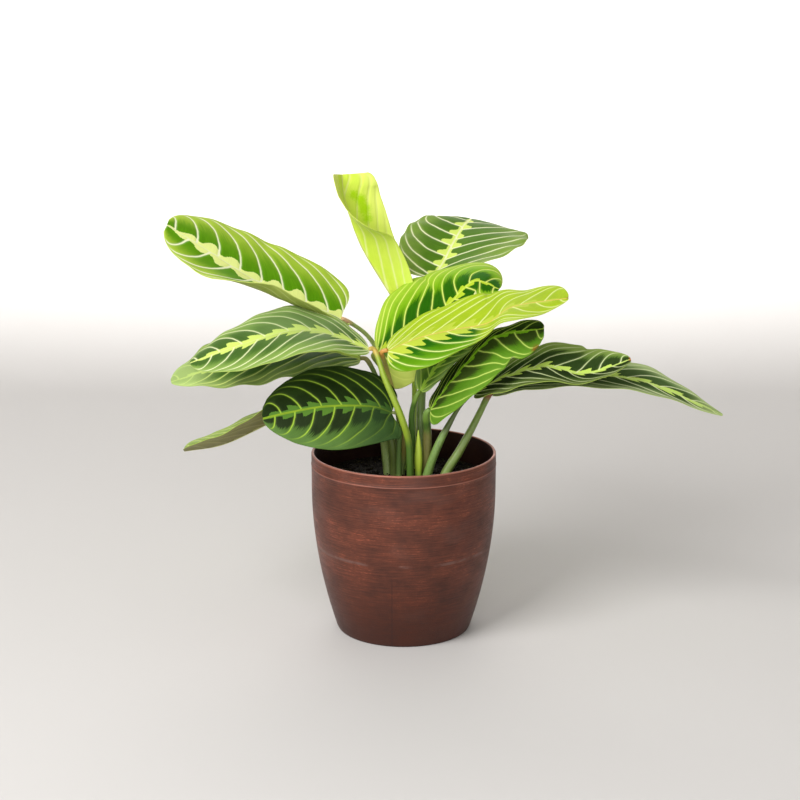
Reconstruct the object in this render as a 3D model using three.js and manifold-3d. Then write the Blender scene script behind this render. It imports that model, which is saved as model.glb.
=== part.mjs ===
// Potted lemon lime prayer plant: a tapered copper-brown pot filled with soil, thirteen leaf blades,
// each on a stalk of its own, and one young pointed sheath. Millimetres, +Z up, the origin in the
// middle of the pot's underside. The front of the plant looks along -Y.
import * as THREE from "three";
import { mergeVertices } from "three/addons/utils/BufferGeometryUtils.js";
import Module from "manifold-3d";

const wasm = await Module();
wasm.setup();

// Pot: a thin cup whose wall swells from a narrow foot to a straight upper part.
const POT_HEIGHT = 114;
const RIM_RADIUS = 57.5;
const FOOT_RADIUS = 42;
const FOOT_EDGE = 0.8;
const WALL = 1.8;
const FLOOR = 2.6;
const TAPER_TOP = 90;
const TAPER_POWER = 1.9;
const RING_DROP = 7;
const RING_HEIGHT = 1.2;
const RING_OUT = 0.4;
const POT_SIDES = 40;

// Soil: it fills the pot to 16 mm below the rim and the stalks stand in it.
const CLEARANCE = 0.3;
const SOIL_TOP = 98;
const SOIL_CROWN = 2.5;
const SOIL_LUMP = 0.7;
const ROOTED_TO = 82;

// Blades: thickness, the rib under the midrib, and the mesh steps along and across.
const BLADE = 0.7;
const RIB = 0.9;
const RIB_WIDTH = 0.07;
const ACROSS = [0, 0.08, 0.34, 0.6, 0.82, 1];
const END_TRIM = 0.004;
const STALK_SIDES = 8;
const SEAT_GAP = 0.4;
const SEAT_BEND = 4;

// Leaves. spine runs along the midrib from the stalk to the tip. half is the half-width on the left
// and the right of it, looking to the tip with the top face up, as values from the base to the tip.
// shape holds the powers of the outline at the base and at the tip, lobe how far the base reaches
// back on each side. roll turns the blade about its midrib, right side up, fold lifts each half at
// the midrib and curl bends it on towards the margin, all in degrees and each from the base to the
// tip. face is the way that the top face looks, and wave is the height of the margin's waves.
const LEAVES = {
  upper_left: {
    spine: [[-39, 34, 191], [-65, 24, 205], [-92, 16, 219], [-122, 9, 240], [-144, 4, 255]],
    half: [[31], [36]], shape: [0.25, 0.4], lobe: [5, 15],
    roll: [52, 48, 46, 42],
    fold: [[26, 20, 10, 0, -4], [0, 0, 0]],
    curl: [[80, 85, 70, 25, 0], [-5, -10, -20]],
    rows: 15, wave: 0.5, color: 0x8fc63a,
  },
  top_folded: {
    spine: [[4, 66, 182], [-11, 64, 206], [-26, 60, 232], [-34, 56, 253], [-38, 56, 267], [-39, 58, 280]],
    half: [[22, 22, 22, 23, 21], [23, 25]], shape: [0.4, 0.12], lobe: [0, 0],
    roll: [0, 0, 0, 0], face: [1, 0, 0],
    fold: [[68, 68, 62, 33, 5, -26], [60, 65, 60, 60, 60, 75]],
    curl: [[10, 10, 10, 0, 0], [10, 10, 10, 10, 10]],
    rows: 14, wave: 0, color: 0xcbe65a,
  },
  back: {
    spine: [[19, 71, 211], [26, 83, 219], [32, 97, 228], [40, 115, 238], [46, 129, 241]],
    half: [[36], [48]], shape: [0.5, 0.4], lobe: [10, 10],
    roll: [0, 0, 0],
    fold: [[15, 16, 16], [22, 14, 0]],
    curl: [[-10, -15, -20], [-10, -20, -20]],
    rows: 12, wave: 0.8, color: 0x6e9a5c,
  },
  centre_back: {
    spine: [[-16, 26, 171], [5, 30, 187], [26, 32, 199], [44, 34, 215], [60, 28, 211]],
    half: [[27, 33, 31], [44, 33, 22, 22]], shape: [0.5, 0.5], lobe: [0, 55],
    roll: [-55, -50, -35, -20],
    fold: [[-22, -8, -2], [0, 0, -10]],
    curl: [[0, -10, -20], [-10, -10, -10]],
    rows: 14, wave: 0.5, color: 0x6cb22c,
  },
  centre_front: {
    spine: [[-10, -9, 180], [9, -14, 189], [30, -19, 195], [50, -24, 200], [65, -28, 213], [96, -34, 217]],
    half: [[26], [27, 27, 19, 27, 28]], shape: [0.45, 0.55], lobe: [18, 18],
    roll: [-42, -32, -28, -26],
    fold: [[-25, -15, 0, -8, 0], [0, 0, 12, 0]],
    curl: [[10, 10, 0, 0], [-10, -15, 0, -10]],
    rows: 15, wave: 0.5, color: 0xb7dc46,
  },
  left_middle: {
    spine: [[-21, -10, 181], [-46, -16, 192], [-69, -24, 195], [-103, -30, 186], [-128, -32, 177]],
    half: [[29], [30, 29, 27, 30]], shape: [0.55, 0.58], lobe: [8, 8],
    roll: [22, 22, 20, 18],
    fold: [[14, 14, 6, 0], [5, 7, 5]],
    curl: [[-10, -15, -20], [-15, -15, -20]],
    rows: 15, wave: 0.5, color: 0x4f8f3e,
  },
  left_under: {
    spine: [[-27, 22, 168], [-46, 20, 173], [-71, 16, 174], [-102, 12, 169], [-145, 8, 158]],
    half: [[30, 30, 27, 24], [30]], shape: [0.5, 0.5], lobe: [8, 8],
    roll: [30, 30, 30, 25],
    fold: [[22, 18, 8, 4], [5, 5, 5]],
    curl: [[-10, -15, -20], [-15, -15, -20]],
    rows: 15, wave: 1.1, color: 0x5f9c45,
  },
  front_left: {
    spine: [[-7, -14, 142], [-20, -18, 147], [-47, -26, 149], [-70, -30, 146], [-85, -33, 143]],
    half: [[19, 28, 26], [24, 27, 26]], shape: [0.38, 0.52], lobe: [40, 14],
    roll: [58, 58, 58],
    fold: [[-4, 4, 14], [0, 5, 5]],
    curl: [[-10, -20, -20], [-10, -20, -20]],
    rows: 14, wave: 0.3, color: 0x2f6b2c,
  },
  lower_left: {
    spine: [[-36, 4, 152], [-61, 0, 144], [-87, -2, 131], [-112, -6, 120], [-136, -8, 116]],
    half: [[27], [24]], shape: [0.5, 0.35], lobe: [8, 8],
    roll: [5, 5, 5],
    fold: [[25, 25, 20], [-3, -3, 0]],
    curl: [[0, 0, 0], [0, 0, 0]],
    rows: 12, wave: 0.4, color: 0x5b8c3c,
  },
  right_front: {
    spine: [[19, -8, 144], [27, -12, 158], [38, -16, 174], [55, -20, 191], [84, -26, 197]],
    half: [[26], [26, 27]], shape: [0.5, 0.5], lobe: [10, 10],
    roll: [-40, -38, -35, -30],
    fold: [[-30, -36, -40, 0], [2, -3, -10]],
    curl: [[0, 0, 0], [-5, -10, -10]],
    rows: 14, wave: 0.5, color: 0x3f8a30,
  },
  right_upper: {
    spine: [[44, -6, 153], [60, -13, 164], [85, -22, 173], [109, -28, 170], [136, -30, 179]],
    half: [[26], [26]], shape: [0.5, 0.55], lobe: [8, 8],
    roll: [-20, -15, -2, -2],
    fold: [[-10, 5, 25, 15], [5, 0, 0]],
    curl: [[0, 0, 0], [0, 0, 0]],
    rows: 14, wave: 0.5, color: 0x47793d,
  },
  right_long: {
    spine: [[53, 8, 149], [84, -2, 159], [117, -12, 165], [149, -20, 162], [193, -28, 144]],
    half: [[29, 29, 23, 17, 16], [29]], shape: [0.5, 0.6], lobe: [8, 8],
    roll: [0, 0, -8, -16],
    fold: [[5, 5, 4, -6], [0, 0, 0]],
    curl: [[0, 0, 0], [0, 0, 0]],
    rows: 15, wave: 0.5, color: 0x587f47,
  },
  small_centre: {
    spine: [[10, -7, 154], [16, -5, 163], [26, -1, 174], [47, 3, 185]],
    half: [[15], [9]], shape: [0.5, 0.6], lobe: [5, 5],
    roll: [-30, -30, -30],
    fold: [[-10, -10, -10], [5, 5, 5]],
    curl: [[0, 0, 0], [0, 0, 0]],
    rows: 8, wave: 0.2, color: 0x3c6f34,
  },
};

// Stalks. path runs from where the stalk leaves the soil up to just under its blade, whose base it
// then meets along the midrib; radii run from the soil to the blade.
const STALKS = {
  upper_left: {
    path: [[-11, 6, 98], [-12, 14, 118], [-13, 25, 140], [-14, 40, 160], [-18, 47, 174], [-25, 44, 185]],
    radii: [2.0, 1.8, 1.4, 1.2], color: 0x9fae6a,
  },
  top_folded: {
    path: [[5, 13, 98], [6, 21, 117], [7, 35, 142], [6, 52, 167]],
    radii: [2.0, 1.6, 1.3], color: 0xa9c552,
  },
  back: {
    path: [[10, 4, 98], [11, 8, 119], [11, 18, 139], [13, 36, 160], [15, 60, 188]],
    radii: [2.8, 2.4, 1.6, 1.3], color: 0x7d9a52,
  },
  centre_back: {
    path: [[0, 14, 98], [-1, 18, 116], [-5, 24, 138], [-12, 27, 157]],
    radii: [2.0, 1.6, 1.3], color: 0x86a651,
  },
  centre_front: {
    path: [[-1, 4, 98], [0, 4, 120], [-4, 4, 140], [-9, 2, 160], [-12, -4, 172]],
    radii: [1.6, 1.5, 1.3], color: 0xb98a4a,
  },
  left_middle: {
    path: [[4, -12, 98], [3, -13, 122], [-1, -16, 138], [-6, -17, 151], [-12, -16, 165]],
    radii: [2.1, 2.1, 1.9, 1.3], color: 0x83b53c,
  },
  left_under: {
    path: [[-5, 10, 98], [-6, 11, 118], [-11, 16, 142], [-18, 21, 158]],
    radii: [2.0, 1.6, 1.3], color: 0x8fae55,
  },
  front_left: {
    path: [[-3, -4, 98], [-3, -4, 117], [-2, -6, 132]],
    radii: [1.8, 1.6, 1.4, 0.9], color: 0x5f7a3a,
  },
  lower_left: {
    path: [[-6, 3, 98], [-7, 3, 116], [-11, 4, 131], [-21, 4, 145]],
    radii: [2.6, 2.2, 1.4, 1.3], color: 0x8aa852,
  },
  right_front: {
    path: [[14, -3, 98], [15, -3, 121], [16, -5, 132]],
    radii: [2.9, 2.7, 1.6], color: 0x7f7a45,
  },
  right_upper: {
    path: [[14, -10, 98], [20, -9, 117], [27, -7, 133], [31, -6, 141]],
    radii: [3.0, 2.4, 2.0, 1.2, 1.2], color: 0x86a860,
  },
  right_long: {
    path: [[25, -6, 98], [34, -3, 115], [41, 2, 128]],
    radii: [3.0, 2.5, 2.1, 1.8], color: 0x93ad63,
  },
  small_centre: {
    path: [[4, -3, 98], [5, -3, 121], [5, -5, 139]],
    radii: [2.0, 2.0, 1.2], color: 0x7ea044,
  },
};

// The young sheath stands alone and ends in a point.
const SHEATH = {
  path: [[9, -7, 98], [9, -7, 113], [9, -7, 129]],
  radii: [2.0, 2.1, 0.4], color: 0xc3df3f,
};

const group = new THREE.Group();

function material(color, roughness = 0.5, metalness = 0) {
  return new THREE.MeshStandardMaterial({ color, roughness, metalness, side: THREE.DoubleSide });
}

// A value, or each coordinate of a point, on a smooth curve through evenly spaced values.
function along(values, t) {
  if (values.length === 1) return values[0];
  const last = values.length - 1;
  const place = Math.min(Math.max(t, 0), 1) * last;
  const i = Math.min(Math.floor(place), last - 1);
  const f = place - i;
  const blend = (b, c, a, d) =>
    0.5 * (2 * b + (c - a) * f + (2 * a - 5 * b + 4 * c - d) * f ** 2 + (3 * b - a - 3 * c + d) * f ** 3);
  const pick = (read) => {
    const b = read(values[i]);
    const c = read(values[i + 1]);
    const a = i > 0 ? read(values[i - 1]) : 2 * b - c;
    const d = i + 2 <= last ? read(values[i + 2]) : 2 * c - b;
    return blend(b, c, a, d);
  };
  if (typeof values[0] === "number") return pick((v) => v);
  return new THREE.Vector3(pick((v) => v[0]), pick((v) => v[1]), pick((v) => v[2]));
}

// The point and the direction at an even share u of a curve's length.
const LENGTH_STEPS = 240;
const TANGENT_STEP = 1e-3;
function curve(points) {
  const reached = [0];
  let before = along(points, 0);
  for (let i = 1; i <= LENGTH_STEPS; i += 1) {
    const here = along(points, i / LENGTH_STEPS);
    reached.push(reached[i - 1] + here.distanceTo(before));
    before = here;
  }
  const length = reached[LENGTH_STEPS];
  const parameter = (u) => {
    const goal = u * length;
    let i = 1;
    while (i < LENGTH_STEPS && reached[i] < goal) i += 1;
    const f = (goal - reached[i - 1]) / (reached[i] - reached[i - 1]);
    return (i - 1 + Math.min(f, 1)) / LENGTH_STEPS;
  };
  const at = (u) => {
    const t = parameter(u);
    const ahead = along(points, Math.min(t + TANGENT_STEP, 1));
    const behind = along(points, Math.max(t - TANGENT_STEP, 0));
    return { point: along(points, t), tangent: ahead.sub(behind).normalize() };
  };
  return { at, length };
}

// Share of the widest half-width at u: round at the base, short and blunt at the tip.
function outline(u, [base, tip]) {
  const q = (u + END_TRIM) / (1 + 2 * END_TRIM);
  const widest = base / (base + tip);
  return (q / widest) ** base * ((1 - q) / (1 - widest)) ** tip;
}

const radians = THREE.MathUtils.degToRad;
const WAVES = 5;
const RIGHT_SHIFT = 0.27;

// The top face of a leaf at u along the midrib and v across it, from -1 on the left to 1.
function bladePoint(leaf, spine, u, v) {
  const { point, tangent } = spine.at(u);
  const face = new THREE.Vector3(...(leaf.face ?? [0, 0, 1]));
  const level = new THREE.Vector3().crossVectors(tangent, face).normalize();
  const above = new THREE.Vector3().crossVectors(level, tangent);
  const roll = radians(along(leaf.roll, u));
  const side = level.clone().multiplyScalar(Math.cos(roll)).addScaledVector(above, Math.sin(roll));
  const up = above.clone().multiplyScalar(Math.cos(roll)).addScaledVector(level, -Math.sin(roll));
  const right = v >= 0 ? 1 : 0;
  const sign = right ? 1 : -1;
  const r = Math.abs(v);
  const fold = radians(along(leaf.fold[right], u));
  const curl = radians(along(leaf.curl[right], u)) + 1e-5;
  const share = outline(u, leaf.shape);
  const width = along(leaf.half[right], u) * share;
  const out = (Math.sin(fold + curl * r) - Math.sin(fold)) / curl;
  const rise = (Math.cos(fold) - Math.cos(fold + curl * r)) / curl;
  const faded = Math.min(1, 6 * u) * Math.min(1, 6 * (1 - u)) * r ** 3;
  const wave = leaf.wave * faded * Math.sin(2 * Math.PI * (WAVES * u + RIGHT_SHIFT * right));
  const turned = fold + curl * r;
  const back = leaf.lobe[right] * (r * share) ** 1.5 * (1 - u) ** 4;
  return point
    .addScaledVector(side, sign * (width * out - wave * Math.sin(turned)))
    .addScaledVector(up, width * rise + wave * Math.cos(turned))
    .addScaledVector(tangent, -back);
}

// A blade: its top face, the same face moved down by the thickness, and the edge between them.
function blade(leaf) {
  const spine = curve(leaf.spine);
  const across = [...ACROSS.slice(1).reverse().map((v) => -v), ...ACROSS];
  const columns = across.length;
  const top = [];
  for (let i = 0; i <= leaf.rows; i += 1) {
    const u = (1 - Math.cos((Math.PI * i) / leaf.rows)) / 2;
    for (const v of across) top.push(bladePoint(leaf, spine, u, v));
  }
  const index = [];
  for (let i = 0; i < leaf.rows; i += 1) {
    for (let j = 0; j < columns - 1; j += 1) {
      const a = i * columns + j;
      const [b, c, d] = [a + 1, a + columns + 1, a + columns];
      if (j < columns / 2 - 1) index.push([a, b, d], [b, c, d]);
      else index.push([a, b, c], [a, c, d]);
    }
  }
  const normals = top.map(() => new THREE.Vector3());
  for (const [a, b, c] of index) {
    const ab = top[b].clone().sub(top[a]);
    const ac = top[c].clone().sub(top[a]);
    const normal = ab.cross(ac);
    for (const corner of [a, b, c]) normals[corner].add(normal);
  }
  const bottom = top.map((p, k) => {
    const u = Math.floor(k / columns) / leaf.rows;
    const v = across[k % columns];
    const rib = Math.abs(v) < RIB_WIDTH ? RIB * (1 - u) : 0;
    return p.clone().addScaledVector(normals[k].normalize(), -(BLADE + rib));
  });
  const faces = index.flatMap(([a, b, c]) => [a, b, c]);
  for (const [a, b, c] of index) faces.push(top.length + a, top.length + c, top.length + b);
  const last = leaf.rows * columns;
  const border = [];
  for (let j = 0; j < columns - 1; j += 1) border.push([j, j + 1], [last + j + 1, last + j]);
  for (let i = 0; i < leaf.rows; i += 1) {
    border.push([(i + 1) * columns, i * columns]);
    border.push([i * columns + columns - 1, (i + 1) * columns + columns - 1]);
  }
  for (const [a, b] of border) faces.push(b, a, top.length + a, b, top.length + a, top.length + b);
  const geometry = new THREE.BufferGeometry().setFromPoints([...top, ...bottom]);
  geometry.setIndex(faces);
  return geometry;
}

// A round stem of changing radius, swept along a curve from a closed cylinder.
function stem(path, radii, grow = 0) {
  const line = curve(path);
  const steps = Math.max(4, Math.round(line.length / 9));
  const geometry = new THREE.CylinderGeometry(1, 1, 1, STALK_SIDES, steps);
  const position = geometry.attributes.position;
  for (let k = 0; k < position.count; k += 1) {
    const u = position.getY(k) + 0.5;
    const { point, tangent } = line.at(u);
    const side = new THREE.Vector3(0, -1, 0).cross(tangent).normalize();
    const front = new THREE.Vector3().crossVectors(side, tangent);
    const radius = along(radii, u) + grow;
    point.addScaledVector(side, -position.getX(k) * radius);
    point.addScaledVector(front, -position.getZ(k) * radius);
    position.setXYZ(k, point.x, point.y, point.z);
  }
  return geometry;
}

function solidOf(geometry) {
  const bare = geometry.clone();
  bare.deleteAttribute("normal");
  bare.deleteAttribute("uv");
  const merged = mergeVertices(bare);
  const vertProperties = new Float32Array(merged.attributes.position.array);
  const triVerts = new Uint32Array(merged.index.array);
  return new wasm.Manifold(new wasm.Mesh({ numProp: 3, vertProperties, triVerts }));
}

function geometryOf(solid) {
  const { vertProperties, triVerts } = solid.getMesh();
  const geometry = new THREE.BufferGeometry();
  geometry.setAttribute("position", new THREE.BufferAttribute(vertProperties, 3));
  geometry.setIndex(new THREE.BufferAttribute(triVerts, 1));
  return geometry;
}

function addMesh(name, geometry, look) {
  const mesh = new THREE.Mesh(geometry, look);
  mesh.name = name;
  group.add(mesh);
}

// A lathe profile turned about Z.
function turned(profile, sides) {
  const points = profile.map(([radius, height]) => new THREE.Vector2(radius, height));
  return new THREE.LatheGeometry(points, sides).rotateX(Math.PI / 2);
}

function wallRadius(height) {
  if (height >= TAPER_TOP) return RIM_RADIUS;
  return RIM_RADIUS - (RIM_RADIUS - FOOT_RADIUS) * (1 - height / TAPER_TOP) ** TAPER_POWER;
}

function pot() {
  const ring = POT_HEIGHT - RING_DROP;
  const outer = [3, 12, 24, 36, 48, 60, 74, TAPER_TOP].map((z) => [wallRadius(z), z]);
  const inner = [TAPER_TOP, 68, 50, 32, 16, FLOOR].map((z) => [wallRadius(z) - WALL, z]);
  return turned([
    [0, 0], [FOOT_RADIUS - FOOT_EDGE, 0], [FOOT_RADIUS, FOOT_EDGE], ...outer,
    [RIM_RADIUS, ring - RING_HEIGHT], [RIM_RADIUS + RING_OUT, ring - RING_HEIGHT / 2], [RIM_RADIUS, ring],
    [RIM_RADIUS, POT_HEIGHT - 0.4], [RIM_RADIUS - 0.4, POT_HEIGHT], [RIM_RADIUS - WALL + 0.4, POT_HEIGHT],
    [RIM_RADIUS - WALL, POT_HEIGHT - 0.4], ...inner, [0, FLOOR],
  ], POT_SIDES);
}

// Soil with a low crown and lumps, with a plain hole for each stalk.
function soil(holes) {
  const wall = (z) => wallRadius(z) - WALL - CLEARANCE;
  const side = [16, 32, 50, 68, TAPER_TOP].map((z) => [wall(z), z]);
  const crown = [1, 0.9, 0.72, 0.52, 0.3, 0].map((share) => [
    wall(SOIL_TOP) * share,
    SOIL_TOP - SOIL_CROWN + SOIL_CROWN * (1 - share ** 2),
  ]);
  const base = FLOOR + CLEARANCE;
  const geometry = turned([[0, base], [wall(base), base], ...side, ...crown], POT_SIDES);
  const position = geometry.attributes.position;
  for (let k = 0; k < position.count; k += 1) {
    const [x, y, z] = [position.getX(k), position.getY(k), position.getZ(k)];
    const inside = z > TAPER_TOP + 1 && Math.hypot(x, y) < wall(SOIL_TOP) * 0.95;
    const broad = Math.sin(0.31 * x + 1.7) * Math.sin(0.27 * y + 0.4);
    const lump = broad + 0.6 * Math.sin(0.83 * x - 0.71 * y);
    if (inside) position.setZ(k, z + SOIL_LUMP * lump);
  }
  return holes.reduce((filled, hole) => filled.subtract(solidOf(hole)), solidOf(geometry));
}

addMesh("pot", pot(), material(0x6b3a30, 0.42, 0.35));

// Each stem starts at ROOTED_TO in a hole that is CLEARANCE wider and deeper.
const holes = [];
function plant(name, path, radii, color) {
  const rooted = (depth) => [[path[0][0], path[0][1], depth], ...path];
  const girth = [radii[0], ...radii];
  addMesh(name, stem(rooted(ROOTED_TO), girth), material(color));
  holes.push(stem(rooted(ROOTED_TO - CLEARANCE), girth, CLEARANCE));
}

for (const [name, { path, radii, color }] of Object.entries(STALKS)) {
  const { point, tangent } = curve(LEAVES[name].spine).at(0);
  const bend = point.clone().addScaledVector(tangent, -SEAT_BEND);
  const seat = point.clone().addScaledVector(tangent, -SEAT_GAP);
  plant(`stalk_${name}`, [...path, bend.toArray(), seat.toArray()], radii, color);
}
plant("sheath_young", SHEATH.path, SHEATH.radii, SHEATH.color);

addMesh("soil", geometryOf(soil(holes)), material(0x2b211b, 0.95));

for (const [name, leaf] of Object.entries(LEAVES)) {
  addMesh(`leaf_${name}`, blade(leaf), material(leaf.color));
}

export default group;
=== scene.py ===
# Potted lemon lime prayer plant: the looks of the pot, the soil, the stalks and the leaves, built
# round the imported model. Sizes are in millimetres and become metres when a mesh is finished.
import math

import bmesh
import bpy
import numpy as np
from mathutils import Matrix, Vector, noise


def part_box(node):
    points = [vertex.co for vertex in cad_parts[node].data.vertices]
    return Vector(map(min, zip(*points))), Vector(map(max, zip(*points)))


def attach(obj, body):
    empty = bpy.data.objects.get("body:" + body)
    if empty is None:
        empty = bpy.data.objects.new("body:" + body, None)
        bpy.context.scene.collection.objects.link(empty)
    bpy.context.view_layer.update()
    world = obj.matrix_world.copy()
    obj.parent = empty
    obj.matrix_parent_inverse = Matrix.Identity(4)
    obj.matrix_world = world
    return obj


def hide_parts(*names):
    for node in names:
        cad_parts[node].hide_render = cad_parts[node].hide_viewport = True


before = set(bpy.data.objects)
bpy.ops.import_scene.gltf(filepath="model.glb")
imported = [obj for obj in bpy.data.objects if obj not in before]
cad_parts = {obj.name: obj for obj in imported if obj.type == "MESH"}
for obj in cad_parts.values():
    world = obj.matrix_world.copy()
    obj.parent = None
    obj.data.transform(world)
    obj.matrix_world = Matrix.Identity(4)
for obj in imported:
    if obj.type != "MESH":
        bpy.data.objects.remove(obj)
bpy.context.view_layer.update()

# The camera stands a little over a metre in front of the pot and 0.4 m above its foot, and looks
# down on it. Place, tilt and lens follow from the pot's rim, foot and sides in the picture.
CAMERA_PLACE = (-0.0023, -1.066, 0.4105)
DEGREES_DOWN = 13.91
LENS = 79.875
SENSOR_WIDTH = 36
camera = bpy.data.objects.new("camera", bpy.data.cameras.new("camera"))
bpy.context.scene.collection.objects.link(camera)
camera.data.lens = LENS
camera.data.sensor_width = SENSOR_WIDTH
camera.data.clip_start = 0.05
camera.data.clip_end = 200
camera.location = CAMERA_PLACE
camera.rotation_euler = (math.radians(90 - DEGREES_DOWN), 0, 0)
bpy.context.scene.camera = camera

# The pot is one thin moulded cup that swells from a narrow foot to a straight upper wall, with a
# raised ring under its lip. It is dark brown and brushed round with copper paint, which is worn
# thin in streaks; inside, the wall is a plain darker brown. A painted highlight brightens the lip
# and the ring, and painted shade darkens the wall towards its foot.
CAD_RING_OUT = 0.4
cad_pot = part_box("pot")[1]
POT_HEIGHT = round(1000 * cad_pot[2], 1)
RIM_RADIUS = round(1000 * cad_pot[0] - CAD_RING_OUT, 1)
FOOT_RADIUS = 42
WALL = 1.8
FLOOR = 2.6
TAPER_TOP = 90
TAPER_POWER = 1.9
RING_TOP = POT_HEIGHT - 7
RING_HEIGHT = 0.9
RING_PROUD = 0.22
CUP_STEPS = 176


def wall_radius(height):
    """The pot's outer radius at a height."""
    below_top = max(0, 1 - height / TAPER_TOP)
    return RIM_RADIUS - (RIM_RADIUS - FOOT_RADIUS) * below_top**TAPER_POWER


def turned(profile, steps):
    """A closed shape of revolution about Z from points of radius and height."""
    shape = bmesh.new()
    corners = [shape.verts.new((radius, 0, height)) for radius, height in profile]
    edges = [shape.edges.new(pair) for pair in zip(corners, corners[1:])]
    bmesh.ops.spin(shape, geom=corners + edges, cent=(0, 0, 0), axis=(0, 0, 1),
                   angle=math.tau, steps=steps, use_merge=True, use_duplicate=False)
    bmesh.ops.remove_doubles(shape, verts=shape.verts[:], dist=1e-4)
    bmesh.ops.recalc_face_normals(shape, faces=shape.faces[:])
    return shape


def colour(code):
    """The linear colour of a hex code."""
    parts = [int(code[i:i + 2], 16) / 255 for i in (0, 2, 4)]
    return (*(p / 12.92 if p <= 0.04045 else ((p + 0.055) / 1.055) ** 2.4 for p in parts), 1)


def add(tree, kind, inputs=None, **settings):
    """A new node. Its inputs are numbers, colours or the sockets that feed them."""
    made = tree.nodes.new("ShaderNode" + kind)
    for key, value in settings.items():
        setattr(made, key, value)
    for key, value in (inputs or {}).items():
        if isinstance(value, bpy.types.NodeSocket):
            tree.links.new(value, made.inputs[key])
        else:
            made.inputs[key].default_value = value
    return made


def calc(tree, operation, *values):
    """The result of a Math node."""
    return add(tree, "Math", dict(enumerate(values)), operation=operation).outputs[0]


def step(tree, value, start, end):
    """0 before start and 1 after end, with a soft change between them."""
    inputs = {"Value": value, "From Min": start, "From Max": end}
    return add(tree, "MapRange", inputs, interpolation_type="SMOOTHSTEP").outputs[0]


def blend(tree, share, under, over, how="MIX"):
    """One colour over another, where share is 1."""
    made = add(tree, "Mix", {0: share, 6: under, 7: over}, data_type="RGBA", blend_type=how)
    return made.outputs[2]


def grain(tree, size, stretch=(1, 1, 1), detail=3, rough=0.5):
    """Noise on the object's own coordinates, with grains of that size in millimetres."""
    place = add(tree, "TexCoord").outputs["Object"]
    scaled = add(tree, "Mapping", {"Vector": place, "Scale": [1000 / size / s for s in stretch]})
    inputs = {"Vector": scaled.outputs[0], "Scale": 1, "Detail": detail, "Roughness": rough}
    return add(tree, "TexNoise", inputs).outputs[0]


def finish_of(name, roughness):
    """A new material, its nodes and its shader."""
    made = bpy.data.materials.new(name)
    made.use_nodes = True
    shader = made.node_tree.nodes["Principled BSDF"]
    shader.inputs["Roughness"].default_value = roughness
    return made, made.node_tree, shader


def coat(tree, shader, skin, roughness):
    """Gives a shader its colour and its roughness."""
    tree.links.new(skin, shader.inputs["Base Color"])
    tree.links.new(roughness, shader.inputs["Roughness"])


def relief(tree, shader, height, depth, strength=1.0):
    """Bump of that depth in millimetres."""
    inputs = {"Height": height, "Distance": depth / 1000, "Strength": strength}
    tree.links.new(add(tree, "Bump", inputs).outputs[0], shader.inputs["Normal"])


def in_place(name, shape, finishes, node):
    """Puts a finished shape in the scene, where it stands for its CAD node."""
    mesh = bpy.data.meshes.new(name)
    if isinstance(shape, bmesh.types.BMesh):
        bmesh.ops.scale(shape, vec=(0.001, 0.001, 0.001), verts=shape.verts[:])
        shape.to_mesh(mesh)
        shape.free()
    else:
        mesh = shape
        mesh.name = name
    mesh.shade_smooth()
    for finish in finishes:
        mesh.materials.append(finish)
    piece = bpy.data.objects.new(name, mesh)
    bpy.context.scene.collection.objects.link(piece)
    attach(piece, "root")
    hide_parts(node)
    return piece


outside = [(wall_radius(z), z) for z in np.linspace(2.2, TAPER_TOP, 34)]
inside = [(wall_radius(z) - WALL, z) for z in np.linspace(TAPER_TOP, FLOOR + 1.5, 20)]
ring = [
    (RIM_RADIUS + RING_PROUD * math.sin(math.pi * s) ** 0.7, RING_TOP + RING_HEIGHT * (s - 1))
    for s in np.linspace(0, 1, 7)
]
inner_lip = RIM_RADIUS - WALL
cup = turned([
    (0, 0), (FOOT_RADIUS - 4, 0), (FOOT_RADIUS - 0.9, 0), (FOOT_RADIUS - 0.25, 0.25),
    (FOOT_RADIUS + 0.1, 0.9), *outside, (RIM_RADIUS, 98), (RIM_RADIUS, 104), *ring,
    (RIM_RADIUS, 110), (RIM_RADIUS, POT_HEIGHT - 0.8), (RIM_RADIUS - 0.15, POT_HEIGHT - 0.3),
    (RIM_RADIUS - 0.5, POT_HEIGHT), (inner_lip + 0.5, POT_HEIGHT),
    (inner_lip + 0.15, POT_HEIGHT - 0.3), (inner_lip, POT_HEIGHT - 0.8), (inner_lip, 102),
    *inside, (wall_radius(FLOOR) - WALL - 2, FLOOR), (0, FLOOR),
], CUP_STEPS)

copper, tree, shader = finish_of("copper brushed over brown", 0.42)
shader.inputs["Specular IOR Level"].default_value = 0.28
place = add(tree, "TexCoord").outputs["Object"]
spot = add(tree, "SeparateXYZ", {0: place}).outputs
height = calc(tree, "MULTIPLY", spot[2], 1000)
flat = add(tree, "VectorMath", {0: place, 1: (1000, 1000, 0)}, operation="MULTIPLY").outputs[0]
radius = add(tree, "VectorMath", {0: flat}, operation="LENGTH").outputs["Value"]
streak = grain(tree, 0.5, (30, 30, 1), 6, 0.75)
brush = grain(tree, 0.3, (60, 60, 1), 3, 0.6)
cloud = grain(tree, 20, (1.3, 1.3, 1), 4, 0.65)
speck = grain(tree, 0.9, (2.2, 2.2, 1), 3, 0.7)
paint = calc(tree, "MULTIPLY_ADD", streak, 0.66, calc(tree, "MULTIPLY", cloud, 0.5))
paint = calc(tree, "MULTIPLY_ADD", brush, 0.16, paint)
worn = step(tree, paint, 0.46, 0.86)
skin = blend(tree, worn, colour("3e221a"), colour("784333"))
fleck = calc(tree, "MULTIPLY", streak, calc(tree, "MULTIPLY_ADD", cloud, 0.5, speck))
fleck = calc(tree, "MULTIPLY", step(tree, fleck, 0.42, 0.56), step(tree, cloud, 0.42, 0.6))
fleck = calc(tree, "MULTIPLY", fleck, step(tree, height, 5, 60))
skin = blend(tree, calc(tree, "MULTIPLY", fleck, 0.7), skin, colour("ac5c44"))
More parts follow.
